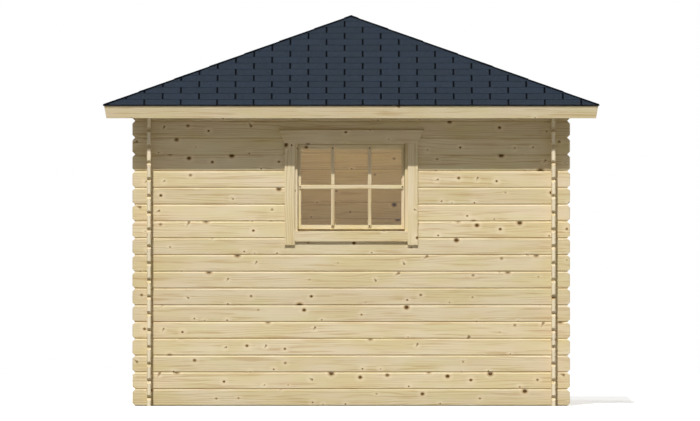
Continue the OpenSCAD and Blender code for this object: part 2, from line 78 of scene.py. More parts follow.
class Graph:
    """A material whose nodes are added by short calls that return sockets."""

    def __init__(self, name):
        self.material = bpy.data.materials.new(name)
        self.material.use_nodes = True
        self.nodes = self.material.node_tree.nodes
        self.links = self.material.node_tree.links
        self.shader = self.nodes["Principled BSDF"]

    def add(self, kind, **settings):
        node = self.nodes.new("ShaderNode" + kind)
        for key, value in settings.items():
            setattr(node, key, value)
        return node

    def feed(self, socket, value):
        """Links a socket to another, or sets it to a constant."""
        if isinstance(value, bpy.types.NodeSocket):
            self.links.new(value, socket)
        else:
            socket.default_value = value

    def math(self, operation, *values):
        node = self.add("Math", operation=operation)
        for socket, value in zip(node.inputs, values):
            self.feed(socket, value)
        return node.outputs[0]

    def plus(self, first, second):
        return self.math("ADD", first, second)

    def minus(self, first, second):
        return self.math("SUBTRACT", first, second)

    def times(self, first, second):
        return self.math("MULTIPLY", first, second)

    def over(self, first, second):
        return self.math("DIVIDE", first, second)

    def size(self, value):
        return self.math("ABSOLUTE", value)

    def hypot(self, first, second):
        """The long side of a right triangle with these short sides."""
        return self.math("SQRT", self.plus(self.times(first, first), self.times(second, second)))

    def draw(self, value, rate):
        """Another number from 0 to 1, drawn from a random one that is already there."""
        return self.math("FRACT", self.times(value, rate))

    def fade(self, value, low, high, start=0.0, end=1.0):
        """A smooth step from start at low to end at high."""
        node = self.add("MapRange", interpolation_type="SMOOTHSTEP")
        for key, number in zip(("Value", "From Min", "From Max", "To Min", "To Max"),
                               (value, low, high, start, end)):
            self.feed(node.inputs[key], number)
        return node.outputs[0]

    def mix(self, share, first, second, blend="MIX"):
        """The first colour where share is 0 and the second where it is 1."""
        node = self.add("Mix", data_type="RGBA", blend_type=blend)
        for index, value in ((0, share), (6, first), (7, second)):
            self.feed(node.inputs[index], value)
        return node.outputs[2]

    def pick(self, share, first, second):
        """The first number where share is 0 and the second where it is 1."""
        node = self.add("Mix", data_type="FLOAT")
        for index, value in ((0, share), (2, first), (3, second)):
            self.feed(node.inputs[index], value)
        return node.outputs[0]

    def shaded(self, colour, luck, low, high):
        """A colour made darker or lighter by luck, between two factors."""
        shade = self.fade(luck, 0.0, 1.0, low, high)
        return self.mix(1.0, colour, self.vector(shade, shade, shade), "MULTIPLY")

    def place(self):
        """The place of the surface in the shared frame."""
        return self.add("TexCoord").outputs["Object"]

    def place_parts(self):
        """X, Y and Z of the surface in the shared frame."""
        return self.parts(self.place())

    def parts(self, vector):
        node = self.add("SeparateXYZ")
        self.feed(node.inputs[0], vector)
        return node.outputs

    def vector(self, x, y, z):
        node = self.add("CombineXYZ")
        for socket, value in zip(node.inputs, (x, y, z)):
            self.feed(socket, value)
        return node.outputs[0]

    def stretched(self, parts, scales):
        """A vector of sockets, each multiplied by its own scale."""
        return self.vector(*(self.times(part, scale) for part, scale in zip(parts, scales)))

    def island(self):
        """A random number from 0 to 1 for each separate solid of a piece."""
        return self.add("NewGeometry").outputs["Random Per Island"]

    def noise(self, vector, scale, detail=2.0, roughness=0.5):
        node = self.add("TexNoise")
        for key, value in (("Vector", vector), ("Scale", scale), ("Detail", detail),
                           ("Roughness", roughness)):
            self.feed(node.inputs[key], value)
        return node.outputs["Fac"]

    def streaks(self, parts, scales, detail=2.0, roughness=0.5):
        """Noise with a scale of its own along each of three sockets."""
        return self.noise(self.stretched(parts, scales), 1.0, detail, roughness)

    def bump(self, height, strength, distance):
        node = self.add("Bump")
        for key, value in (("Height", height), ("Strength", strength), ("Distance", distance)):
            self.feed(node.inputs[key], value)
        self.feed(self.shader.inputs["Normal"], node.outputs[0])

    def set(self, **values):
        """Sets the shader's sockets, named with underscores for spaces."""
        for key, value in values.items():
            self.feed(self.shader.inputs[key.replace("_", " ")], value)
        return self.material

    def clear_where(self, share, colour=WHITE):
        """Makes the surface transparent where share is 1."""
        clear = self.add("BsdfTransparent")
        self.feed(clear.inputs["Color"], colour)
        blend = self.add("MixShader")
        for socket, value in zip(blend.inputs, (share, self.shader.outputs[0], clear.outputs[0])):
            self.feed(socket, value)
        self.feed(self.nodes["Material Output"].inputs["Surface"], blend.outputs[0])
        return self.material


# Knots of the wood, with sizes in metres. A smooth step has two ends, or two ends and two values

KNOT_RIM = srgb(172, 131, 60)
KNOT_HALO = srgb(237, 220, 186)
KNOT_CORE = srgb(84, 58, 14)
KNOT_CELL = 0.13
KNOT_STRETCH = 0.85
KNOT_SMALL, KNOT_LARGE = 0.0040, 0.0190
KNOT_SIZE_POWER = 1.8
KNOT_BOLDNESS = (0.05, 0.85, 0.28, 1.0)
KNOT_REACH = 0.035
HALO_START, SPIKE_HALO_START = 0.1 * KNOT_REACH, 0.2 * KNOT_REACH
RAGGED_SCALES = (160.0, 160.0, 0.0)
RAGGEDNESS = 0.5
CORE_EDGE = (1.35, 0.95)
RIM_EDGE = (1.9, 1.0)
HALO_SHARE, RIM_SHARE = 0.55, 0.6
GRAIN_PUSH = 0.75
TAIL_LENGTH, TAIL_HEIGHT = 0.11, 0.014
SPIKE_SHARE = 0.30
SPIKE_DRAW, SIDE_DRAW = 37.1, 91.7
SPIKE_LEANS = (0.35, 1.9)
SPIKE_SIZES = (0.40, 1.45)
SPIKE_HALF, SPIKE_THICK = 0.024, 0.0115
SPIKE_TAPER = (-1.0, 0.9, 0.3, 1.0)
SPIKE_RISE, SPIKE_END, SPIKE_EDGE = (-1.0, 0.5), (1.0, 0.6), (1.0, 0.2)
SPIKE_TIP = (0.0, 0.8, 0.0, 0.6)
SPIKE_COLOUR, SPIKE_MIX = srgb(150, 117, 64), 0.85


class Knots:
    """Knots strewn over a wood, as sockets of how strongly each of their marks shows."""

    def __init__(self, graph, parts, share):
        along, across, _ = parts
        cell = graph.add("TexVoronoi", voronoi_dimensions="2D")
        scales = (KNOT_STRETCH / KNOT_CELL, 1 / KNOT_CELL, 0.0)
        graph.feed(cell.inputs["Vector"], graph.stretched(parts, scales))
        graph.feed(cell.inputs["Scale"], 1.0)
        traits = graph.add("SeparateColor")
        graph.feed(traits.inputs[0], cell.outputs["Color"])
        self.kind, self.growth, self.tone = traits.outputs[:3]
        spot = graph.parts(cell.outputs["Position"])
        self.beside = graph.minus(along, graph.times(spot[0], KNOT_CELL / KNOT_STRETCH))
        self.above = graph.minus(across, graph.times(spot[1], KNOT_CELL))
        self.distance = graph.times(cell.outputs["Distance"], KNOT_CELL)
        self.exists = graph.math("LESS_THAN", self.kind, share)
        self.spiked = graph.math("LESS_THAN", graph.draw(self.kind, SPIKE_DRAW), SPIKE_SHARE)
        self.mark_round(graph, parts)
        self.mark_spikes(graph)
        self.bend_grain(graph, across)

    def mark_round(self, graph, parts):
        """Knots cut across: a ragged dark core, a brown rim and a pale halo."""
        bold = graph.fade(self.tone, *KNOT_BOLDNESS)
        size = graph.times(graph.math("POWER", self.growth, KNOT_SIZE_POWER), bold)
        radius = graph.plus(graph.times(size, KNOT_LARGE - KNOT_SMALL), KNOT_SMALL)
        beyond = graph.over(self.distance, radius)
        rough = graph.streaks(parts, RAGGED_SCALES)
        ragged = graph.plus(beyond, graph.times(rough, RAGGEDNESS))
        shown = graph.times(graph.times(self.exists, bold), graph.minus(1.0, self.spiked))
        self.core = graph.times(shown, graph.fade(ragged, *CORE_EDGE))
        self.rim = graph.times(shown, graph.fade(beyond, *RIM_EDGE))
        past = graph.minus(self.distance, radius)
        self.halo = graph.times(shown, graph.fade(past, KNOT_REACH, HALO_START))

    def mark_spikes(self, graph):
        """Knots cut lengthwise: slanted spikes, thickest and darkest at one end."""
        side = graph.math("SIGN", graph.plus(graph.draw(self.kind, SIDE_DRAW), -0.5))
        lean = graph.times(side, graph.fade(self.tone, 0.0, 1.0, *SPIKE_LEANS))
        length = graph.hypot(lean, 1.0)
        growth = graph.fade(self.growth, 0.0, 1.0, *SPIKE_SIZES)
        reach = graph.plus(self.beside, graph.times(self.above, lean))
        reach = graph.over(graph.over(reach, graph.times(length, SPIKE_HALF)), growth)
        aside = graph.minus(self.above, graph.times(self.beside, lean))
        aside = graph.size(graph.over(aside, graph.times(length, SPIKE_THICK)))
        aside = graph.over(aside, graph.times(growth, graph.fade(reach, *SPIKE_TAPER)))
        spiked = graph.times(self.spiked, self.exists)
        spike = graph.times(graph.fade(reach, *SPIKE_RISE), graph.fade(reach, *SPIKE_END))
        self.spike = graph.times(graph.times(spike, spiked), graph.fade(aside, *SPIKE_EDGE))
        self.tip = graph.times(self.spike, graph.fade(reach, *SPIKE_TIP))
        near = graph.fade(self.distance, KNOT_REACH, SPIKE_HALO_START)
        self.halo = graph.plus(self.halo, graph.times(spiked, near))

    def bend_grain(self, graph, across):
        """Grain that swings round the knots, and dark tails beside them."""
        push = graph.times(self.exists, graph.fade(self.distance, KNOT_REACH, 0.0))
        self.bent = graph.minus(across, graph.times(self.above, graph.times(push, GRAIN_PUSH)))
        tail = graph.times(graph.fade(graph.size(self.beside), TAIL_LENGTH, 0.0),
                           graph.fade(graph.size(self.above), TAIL_HEIGHT, 0.0))
        self.tail = graph.times(tail, self.exists)

    def paint(self, graph, colour):
        """A wood's colour with the knots on it."""
        for share, mark in ((graph.times(self.halo, HALO_SHARE), KNOT_HALO),
                            (graph.times(self.rim, RIM_SHARE), KNOT_RIM),
                            (self.core, KNOT_CORE),
                            (graph.times(self.spike, SPIKE_MIX), SPIKE_COLOUR),
                            (self.tip, KNOT_CORE)):
            colour = graph.mix(share, colour, mark)
        return colour


# Wood. Scales are for the coordinates along the grain, across it and into the wood

PALE = srgb(228, 213, 179)
HONEY = srgb(218, 200, 152)
ROSY = srgb(227, 207, 177)
OLIVE = srgb(219, 207, 156)
LATEWOOD = srgb(186, 152, 100)
END_GRAIN = srgb(242, 229, 200)
KNOT_SHARE, TRIM_KNOTS, NO_KNOTS = 0.62, 0.36, 0.0
LOG_SHADES = (0.93, 1.03)
TRIM_SHADES = (0.99, 1.03)
LOG_DRAW = 1.37
GRAIN_JUMP, DEPTH_JUMP = 37.0, 3.0
SWAY_SCALES = (0.8, 8.0, 8.0)
RING_RATE, RING_SWAY = 420.0, 46.0
RING_EDGE = (0.35, 1.0)
STRENGTH_SCALES, STRENGTH_EDGE = (1.3, 14.0, 14.0), (0.38, 0.66)
RING_SHARE, TAIL_SHARE = 0.48, 0.50
FLAME_SCALES, FLAME_FADE = (2.6, 52.0, 52.0), (0.53, 0.72, 0.0, 0.52)
STREAK_SCALES, STREAK_FADE = (2.0, 150.0, 150.0), (0.5, 0.8, 0.0, 0.34)
FIBRE_SCALES = (12.0, 1100.0, 1100.0)
PATCH_SCALES, HONEY_FADE = (2.4, 7.0, 7.0), (0.30, 0.70, 0.1, 0.9)
TINT_SCALES = (3.1, 10.0, 10.0)
ROSY_FADE, OLIVE_FADE = (0.45, 0.75, 0.0, 0.55), (0.45, 0.25, 0.0, 0.45)
CUT_EDGE, CUT_SHARE = (0.75, 0.95), 0.88
ARC_JUMP, ARC_RATE, ARC_SWAY = 0.05, 2100.0, 9.0
ARC_FADE = (-0.2, 1.0, 0.0, 0.22)
SEAM = 0.0008
SEAM_COLOUR, SEAM_SHARE = srgb(120, 92, 54), 0.6
FIBRE_RELIEF, RING_RELIEF, CORE_RELIEF = 0.25, 0.35, -0.8
WOOD_BUMP = (0.22, 0.0006)
WOOD_ROUGHNESS = (0.2, 0.8, 0.52, 0.70)
WOOD_SPECULAR = 0.28


def wood(name, axes, seed, strip=None, islands=False, rails=None, knots=KNOT_SHARE, shades=LOG_SHADES):
    """Planed spruce. axes names the coordinates along the grain, across it and into the wood.
    strip is the height and offset of the logs or boards that each have their own grain.
    islands gives each separate solid of a piece its own grain instead.
    rails is the stretch on either side of the middle where the grain turns to run across."""
    graph = Graph(name)
    x, y, z = graph.place_parts()
    sockets = {"x": x, "y": y, "z": z, "r": graph.hypot(x, y), "s": graph.plus(x, y)}
    along, across, deep = (sockets[letter] for letter in axes)
    draw = seed
    turned_share = 0.0
    if rails:
        out = graph.size(across)
        turned_share = graph.times(graph.math("GREATER_THAN", out, rails[0]),
                                   graph.math("LESS_THAN", out, rails[1]))
        seams = [graph.fade(graph.size(graph.plus(out, -edge)), SEAM, 0.5 * SEAM) for edge in rails]
        along, across = (graph.pick(turned_share, along, across),
                         graph.pick(turned_share, across, along))
        draw = graph.plus(graph.times(turned_share, LOG_DRAW), seed)
    elif strip:
        height, offset = strip
        lifted = graph.plus(across, offset)
        index = graph.math("FLOOR", graph.over(lifted, height))
        across = graph.minus(lifted, graph.times(index, height))
        draw = graph.plus(graph.times(index, LOG_DRAW), seed)
    elif islands:
        draw = graph.plus(graph.island(), seed)
    chance = graph.add("TexWhiteNoise", noise_dimensions="1D")
    graph.feed(chance.inputs["W"], draw)
    luck = chance.outputs["Value"]
    along = graph.plus(along, graph.times(luck, GRAIN_JUMP))
    deep = graph.plus(deep, graph.times(luck, DEPTH_JUMP))
    straight = (along, across, deep)
    marks = Knots(graph, straight, knots)
    swinging = (along, marks.bent, deep)

    # Growth rings as soft bands, broad and long streaks and fine fibre
    sway = graph.streaks(swinging, SWAY_SCALES)
    rings = graph.plus(graph.times(marks.bent, RING_RATE), graph.times(sway, RING_SWAY))
    late = graph.fade(graph.math("SINE", rings), *RING_EDGE)
    strength = graph.fade(graph.streaks(swinging, STRENGTH_SCALES, 1.0), *STRENGTH_EDGE)
    flame = graph.streaks(swinging, FLAME_SCALES, 2.0, 0.55)
    streak = graph.streaks(swinging, STREAK_SCALES, 3.0, 0.6)
    fibre = graph.streaks(swinging, FIBRE_SCALES)
    patch = graph.streaks(straight, PATCH_SCALES)
    tint = graph.streaks(straight, TINT_SCALES, 1.0)
    colour = graph.mix(graph.fade(patch, *HONEY_FADE), PALE, HONEY)
    colour = graph.mix(graph.fade(tint, *ROSY_FADE), colour, ROSY)
    colour = graph.mix(graph.fade(tint, *OLIVE_FADE), colour, OLIVE)
    grain = graph.plus(graph.times(strength, RING_SHARE), graph.times(marks.tail, TAIL_SHARE))
    colour = graph.mix(graph.times(late, grain), colour, LATEWOOD)
    colour = graph.mix(graph.fade(streak, *STREAK_FADE), colour, LATEWOOD)
    colour = graph.mix(graph.fade(flame, *FLAME_FADE), colour, LATEWOOD)
    colour = marks.paint(graph, colour)

    # End grain on faces that cut the fibres
    if axes[0] in "xyz":
        facing = graph.parts(graph.add("NewGeometry").outputs["True Normal"])
        cut = graph.fade(graph.size(facing["xyz".index(axes[0])]), *CUT_EDGE)
        cut = graph.pick(turned_share, cut, 0.0)
        arc = graph.hypot(graph.plus(across, graph.times(luck, ARC_JUMP)), deep)
        arcs = graph.plus(graph.times(arc, ARC_RATE), graph.times(sway, ARC_SWAY))
        ends = graph.mix(graph.fade(graph.math("SINE", arcs), *ARC_FADE), END_GRAIN, LATEWOOD)
        colour = graph.mix(graph.times(cut, CUT_SHARE), colour, ends)

    # Joints between stiles and rails
    if rails:
        colour = graph.mix(graph.times(graph.plus(*seams), SEAM_SHARE), colour, SEAM_COLOUR)

    # Each log is a little lighter or darker than its neighbours
    colour = graph.shaded(colour, luck, *shades)
    relief = graph.plus(graph.times(fibre, FIBRE_RELIEF), graph.times(late, RING_RELIEF))
    relief = graph.plus(relief, graph.times(marks.core, CORE_RELIEF))
    graph.bump(relief, *WOOD_BUMP)
    return graph.set(Base_Color=colour, Roughness=graph.fade(streak, *WOOD_ROUGHNESS),
                     Specular_IOR_Level=WOOD_SPECULAR)


# Other materials. Each noise has a scale and a detail, each bump a strength and a height

CLOUD_EDGE = (0.3, 0.7)
SHINGLE_DARK, SHINGLE_LIGHT = srgb(20, 28, 38), srgb(25, 35, 46)
PALE_GRAIN, PALE_GRAIN_FADE = srgb(64, 77, 92), (0.55, 1.0, 0.0, 0.5)
DARK_GRAIN, DARK_GRAIN_FADE = srgb(8, 12, 17), (0.7, 1.0, 0.0, 0.6)
GRAINS_PER_METRE = 520.0
SHINGLE_CLOUD = (9.0, 3.0)
SHINGLE_SHADES = (0.94, 1.06)
SHINGLE_BUMP = (0.5, 0.0012)
SHINGLE_ROUGHNESS = (0.2, 0.8, 0.82, 0.96)
SHINGLE_SPECULAR = 0.08
# Felt under the tabs, nearly black so that the slots show painted shade
SLOT_SHADE_FELT_DARK, SLOT_SHADE_FELT_LIGHT = srgb(2, 3, 5), srgb(6, 8, 11)
STRIP_DARK, STRIP_LIGHT = srgb(8, 10, 14), srgb(16, 20, 26)
FELT_CLOUD, FELT_FINE = (26.0, 4.0), (900.0, 2.0)
FELT_BUMP = (0.4, 0.0008)
FELT_ROUGHNESS = (0.2, 0.8, 0.75, 0.95)
FELT_SPECULAR = 0.015
GLASS_COLOUR = (0.93, 0.95, 0.92, 1.0)
GLASS_IOR = 1.45
GLASS_WAVE = (7.0, 1.0)
GLASS_BUMP = (0.02, 0.004)
HANDLE_STEEL, HANDLE_ROUGHNESS = srgb(168, 168, 164), 0.28
HINGE_STEEL, HINGE_ROUGHNESS = srgb(176, 174, 168), 0.34
STEEL_DARKENING, STEEL_CLOUD_SHARE = 0.6, 0.35
STEEL_ROUGHNESS_RANGE = 0.2
STEEL_CLOUD = (40.0, 2.0)
BRUSH_SCALES, BRUSH_EDGE = (2600.0, 2600.0, 60.0), (0.2, 0.8)
BRUSH_BUMP = (0.15, 0.0003)
# Pin heads nearly black: painted shade for the shaded gaps where the bars end on the sash
PIN_SHADE_DARK, PIN_SHADE_LIGHT = srgb(24, 17, 13), srgb(42, 30, 22)
IRON_CLOUD = (400.0, 3.0)
IRON_BUMP = (0.3, 0.0004)
IRON_METAL = 0.4
IRON_ROUGHNESS = (0.3, 0.7, 0.45, 0.7)


def shingle_material():
    """Bitumen tabs with mineral grains, each tab a shade of its own."""
    graph = Graph("shingle_grains")
    place = graph.place()
    grain = graph.add("TexVoronoi", voronoi_dimensions="3D")
    graph.feed(grain.inputs["Vector"], place)
    graph.feed(grain.inputs["Scale"], GRAINS_PER_METRE)
    speck = graph.add("SeparateColor")
    graph.feed(speck.inputs[0], grain.outputs["Color"])
    cloud = graph.noise(place, *SHINGLE_CLOUD)
    colour = graph.mix(graph.fade(cloud, *CLOUD_EDGE), SHINGLE_DARK, SHINGLE_LIGHT)
    colour = graph.mix(graph.fade(speck.outputs[0], *PALE_GRAIN_FADE), colour, PALE_GRAIN)
    colour = graph.mix(graph.fade(speck.outputs[1], *DARK_GRAIN_FADE), colour, DARK_GRAIN)
    colour = graph.shaded(colour, graph.island(), *SHINGLE_SHADES)
    graph.bump(grain.outputs["Distance"], *SHINGLE_BUMP)
    return graph.set(Base_Color=colour, Roughness=graph.fade(cloud, *SHINGLE_ROUGHNESS),
                     Specular_IOR_Level=SHINGLE_SPECULAR)


def felt_material(name, dark, light):
    """Near-black roofing felt, a little worn. Where it shows in the slots between tabs, its blackness is
    painted shade.
    """
    graph = Graph(name)
    cloud = graph.noise(graph.place(), *FELT_CLOUD)
    fine = graph.noise(graph.place(), *FELT_FINE)
    graph.bump(fine, *FELT_BUMP)
    colour = graph.mix(graph.fade(cloud, *CLOUD_EDGE), dark, light)
    return graph.set(Base_Color=colour, Roughness=graph.fade(fine, *FELT_ROUGHNESS),
                     Specular_IOR_Level=FELT_SPECULAR)


def glass_material():
    """Clear float glass with a faint waviness, which lets lamps through."""
    graph = Graph("float_glass")
    graph.bump(graph.noise(graph.place(), *GLASS_WAVE), *GLASS_BUMP)
    graph.set(Base_Color=GLASS_COLOUR, Roughness=0.0, IOR=GLASS_IOR, Transmission_Weight=1.0)
    return graph.clear_where(graph.add("LightPath").outputs["Is Shadow Ray"], GLASS_COLOUR)


def steel_material(name, colour, roughness):
    """Brushed steel, with its brush lines running up and down."""
    graph = Graph(name)
    lines = graph.streaks(graph.place_parts(), BRUSH_SCALES)
    cloud = graph.noise(graph.place(), *STEEL_CLOUD)
    graph.bump(lines, *BRUSH_BUMP)
    darker = tuple(STEEL_DARKENING * level for level in colour[:3]) + (1.0,)
    tone = graph.mix(graph.fade(cloud, *CLOUD_EDGE, 0.0, STEEL_CLOUD_SHARE), colour, darker)
    rough = graph.fade(lines, *BRUSH_EDGE, roughness, roughness + STEEL_ROUGHNESS_RANGE)
    return graph.set(Base_Color=tone, Metallic=1.0, Roughness=rough)


def pin_shade_material():
    """Browned metal of the pin heads, made nearly black as painted shade for the shaded gaps where the
    bars end.
    """
    graph = Graph("pin_heads_painted_shade")
    cloud = graph.noise(graph.place(), *IRON_CLOUD)
    graph.bump(cloud, *IRON_BUMP)
    colour = graph.mix(graph.fade(cloud, *CLOUD_EDGE), PIN_SHADE_DARK, PIN_SHADE_LIGHT)
    return graph.set(Base_Color=colour, Metallic=IRON_METAL, Roughness=graph.fade(cloud, *IRON_ROUGHNESS))


# Pieces

DOME_AROUND, DOME_UP = 14, 8


def finished(name, bm, materials, slot, *replaced):
    """Makes a piece of the object from a bmesh, in the shared frame."""
    bmesh.ops.recalc_face_normals(bm, faces=bm.faces)
    mesh = bpy.data.meshes.new(name)
    bm.to_mesh(mesh)
    bm.free()
    for material in materials:
        mesh.materials.append(material)
    piece = bpy.data.objects.new(name, mesh)
    bpy.context.scene.collection.objects.link(piece)
    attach(piece, ROOT)
    if replaced:
        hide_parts(*replaced)


def turned(turn, x, y, z):
    """A point of the front side, turned to another side of the cabin."""
    cosine, sine = math.cos(turn), math.sin(turn)
    return Vector((x * cosine - y * sine, x * sine + y * cosine, z))


def on_roof(turn, x, run, lift):
    """A point over one side's roof boards: run is its level distance from the peak, lift its height."""
    height = SHINGLE_BASE_APEX - run * SLOPE_TAN + lift * SLOPE_COS
    return turned(turn, x, -run - lift * SLOPE_SIN, height)


def on_wall(turn, x, depth, z):
    """A point in a wall: x along it, depth inwards from its outer face."""
    return turned(turn, x, depth - WALL_HALF, z)


def add_prism(bm, *outlines, material=0):
    """A closed solid through two or more outlines with as many points each."""
    rings = [[bm.verts.new(point) for point in outline] for outline in outlines]
    faces = [bm.faces.new(rings[0]), bm.faces.new(rings[-1])]
    for low, high in zip(rings, rings[1:]):
        for i in range(len(low)):
            j = (i + 1) % len(low)
            faces.append(bm.faces.new((low[i], low[j], high[j], high[i])))
    for face in faces:
        face.material_index = material
    return faces


def add_block(bm, turn, low, high, edge, segments=2):
    """A block in a wall between two corners given as (x, depth, z), with rounded edges."""
    (x0, d0, z0), (x1, d1, z1) = low, high
    level = [(x0, d0), (x1, d0), (x1, d1), (x0, d1)]
    faces = add_prism(bm, *([on_wall(turn, x, d, z) for x, d in level] for z in (z0, z1)))
    edges = list(dict.fromkeys(side for face in faces for side in face.edges))
    bmesh.ops.bevel(bm, geom=edges, offset=edge, segments=segments, profile=0.5, affect="EDGES")


def add_dome(bm, centre, outwards, radius, height):
    """A low round head, such as a pin's, half sunk in the surface."""
    turn = outwards.to_track_quat("Z", "Y").to_matrix().to_4x4()
    matrix = Matrix.Translation(centre) @ turn @ Matrix.Diagonal((radius, radius, height, 1.0))
    made = bmesh.ops.create_uvsphere(bm, u_segments=DOME_AROUND, v_segments=DOME_UP, radius=1.0,
                                     matrix=matrix)
    for corner in made["verts"]:
        for face in corner.link_faces:
            face.smooth = True


# Roof covering

COURSE_RUN = 0.1223 * SLOPE_COS
FIRST_COURSE_RUN = 0.108 * SLOPE_COS
LAST_FOOT = 0.004
TAB_PITCH = 0.2492
TAB_START = -0.0456
SLOT_W = 0.0125
TAB_T = 0.0016
BUTT_LIFT = 0.009
HEAD_LIFT = 0.0073
HEAD_LAP = 0.004
FELT_T = 0.0041
STARTER_RUN = 0.09
DRIP = 0.0032
ROOF_EDGE = EAVE_HALF - DRIP
LIFT_PLAY = 0.0002
SKEW_PLAY = 0.0008
SAME_POINT = 0.000001
GRAINS, FELT = 0, 1


def clipped(points, limit):
    """The part of an outline where limit(point) is zero or less, without repeated points."""
    kept = []
    for i, point in enumerate(points):
        before = points[i - 1]
        here, there = limit(point), limit(before)
        if (here <= 0) != (there <= 0):
            share = there / (there - here)
            kept.append(tuple(b + (p - b) * share for p, b in zip(point, before)))
        if here <= 0:
            kept.append(point)
    return [point for i, point in enumerate(kept) if math.dist(point, kept[i - 1]) > SAME_POINT]


def on_side(points):
    """The part of an outline of (x, run) that lies between the two hips."""
    return clipped(clipped(points, lambda p: p[0] - p[1]), lambda p: -p[0] - p[1])


def add_tab(bm, turn, x0, x1, foot_run, exposure):
    """One shingle tab, cut at the hips, low at its head and standing proud at its foot."""
    lift = BUTT_LIFT - random.random() * LIFT_PLAY
    skew = (random.random() - 0.5) * SKEW_PLAY
    head_run = max(foot_run - exposure - HEAD_LAP, 0.0)
    fall = (BUTT_LIFT - HEAD_LIFT) / exposure
    outline = on_side([(x0, foot_run - skew), (x1, foot_run + skew), (x1, head_run), (x0, head_run)])
    if len(outline) < 3:
        return
    top = [(x, run, lift - (foot_run - run) * fall) for x, run in outline]
    upper = [on_roof(turn, x, run, height) for x, run, height in top]
    lower = [on_roof(turn, x, run, height - TAB_T) for x, run, height in top]
    add_prism(bm, lower, upper, material=GRAINS)


def add_felt(bm, turn, outline, low, high):
    """A sheet of felt over part of a roof side between two lifts."""
    add_prism(bm, *([on_roof(turn, x, run, lift) for x, run in outline] for lift in (low, high)),
              material=FELT)


def shingle_courses():
    """The run of each course's foot and its exposure, from the eave to the peak."""
    foot = ROOF_EDGE
    exposure = FIRST_COURSE_RUN
    while foot > LAST_FOOT:
        yield foot, exposure
        foot -= exposure
        exposure = COURSE_RUN


def shingled_side(side, turn, materials):
    """One roof side: near-black felt with a starter strip, and courses of tabs with open slots, in which
    the felt stands for painted shade.
    """
    bm = bmesh.new()
    eave = [(-ROOF_EDGE, ROOF_EDGE), (ROOF_EDGE, ROOF_EDGE)]
    inner = ROOF_EDGE - STARTER_RUN
    add_felt(bm, turn, eave + [(0.0, 0.0)], 0.0, FELT_T)
    add_felt(bm, turn, eave + [(inner, inner), (-inner, inner)], FELT_T, HEAD_LIFT)
    for course, (foot, exposure) in enumerate(shingle_courses()):
        shift = TAB_START + (0.5 * TAB_PITCH if course % 2 == 0 else 0.0)
        first = math.floor((-foot - shift) / TAB_PITCH)
        last = math.ceil((foot - shift) / TAB_PITCH)
        for tab in range(first, last):
            left = shift + tab * TAB_PITCH + SLOT_W / 2
            add_tab(bm, turn, left, left + TAB_PITCH - SLOT_W, foot, exposure)
    finished("shingle_tabs_" + side, bm, materials, "shingle", "shingles_" + side)


# Hip strips

CAP_LENGTH = 0.24
CAP_LAP = 0.02
CAP_LEG = 0.024
CAP_T = 0.0025
CAP_FOOT_LIFT = 0.0125
CAP_HEAD_LIFT = 0.0095
PEAK_FOOT, PEAK_TIP = 0.05, 0.0005


def hip_point(turn, run, leg, lift):
    """A point at a hip right of a side: leg is its distance from the hip, on that side if negative."""
    height = SHINGLE_BASE_APEX - run * SLOPE_TAN + lift / SLOPE_COS
    if leg <= 0:
        return turned(turn, run + leg, -run, height)
    return turned(turn, run, -run + leg, height)


def hip_ring(turn, run, lift):
    """The folded section of a hip strip, narrower where the hips meet."""
    leg = min(CAP_LEG, run)
    upper = [hip_point(turn, run, share * leg, lift) for share in (-1, 0, 1)]
    lower = [hip_point(turn, run, share * leg, lift - CAP_T) for share in (1, 0, -1)]
    return upper + lower


def hip_strips(corner, turn, material):
    """Short folded strips that overlap down one hip, and a small piece that closes the peak."""
    bm = bmesh.new()
    foot = ROOF_EDGE
    while foot > CAP_LEG:
        head = max(foot - CAP_LENGTH - CAP_LAP, CAP_LEG)
        add_prism(bm, hip_ring(turn, foot, CAP_FOOT_LIFT), hip_ring(turn, head, CAP_HEAD_LIFT))
        foot -= CAP_LENGTH
    add_prism(bm, *(hip_ring(turn, run, CAP_FOOT_LIFT) for run in (PEAK_FOOT, CAP_LEG, PEAK_TIP)))
    finished("hip_strips_" + corner, bm, [material], "hip_cap", "hip_cap_" + corner)


# Roof boards

BOARD_COUNT = 20
BOARD_T = 0.018
BOARD_GROOVE = 0.0035
BOARD_GAP = 0.0006
FIRST_BOARD_RUN = 0.012
FASCIA_LEAN = math.radians(10.5)
FASCIA_T = 0.018
FASCIA_FACE = -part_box("fascia_front")[0].y
FASCIA_TOP = SHINGLE_BASE_APEX - FASCIA_FACE * SLOPE_TAN


def past_fascia(point):
    """How far a point of (distance from the middle, height) lies past a fascia's inner face."""
    out = point[0] - FASCIA_FACE
    up = point[1] - FASCIA_TOP
    return out * math.cos(FASCIA_LEAN) - up * math.sin(FASCIA_LEAN) + FASCIA_T


def board_section(foot, head):
    """Section of a roof board as (distance from the middle, height), with bevelled lower edges."""
    groove = BOARD_GROOVE * SLOPE_COS
    outline = [
        (head, BOARD_T), (foot, BOARD_T), (foot, BOARD_GROOVE),
        (foot - groove, 0.0), (head + groove, 0.0), (head, BOARD_GROOVE),
    ]
    section = [(run + lift * SLOPE_SIN, BOARD_BASE_APEX - run * SLOPE_TAN + lift * SLOPE_COS)
               for run, lift in outline]
    return clipped(section, past_fascia)


def boarded_side(side, turn, material):
    """Tongued boards under one roof side, cut to the hips."""
    bm = bmesh.new()
    cover = FASCIA_FACE / BOARD_COUNT
    for board in range(BOARD_COUNT):
        section = board_section((board + 1) * cover - BOARD_GAP, max(board * cover, FIRST_BOARD_RUN))
        if len(section) < 3:
            continue
        left = [turned(turn, -out + BOARD_GAP, -out, height) for out, height in section]
        right = [turned(turn, out - BOARD_GAP, -out, height) for out, height in section]
        add_prism(bm, left, right)
    finished("roof_planks_" + side, bm, [material], "roof_wood", "roof_boards_" + side)


# Window bars, with depths from the wall's outer face

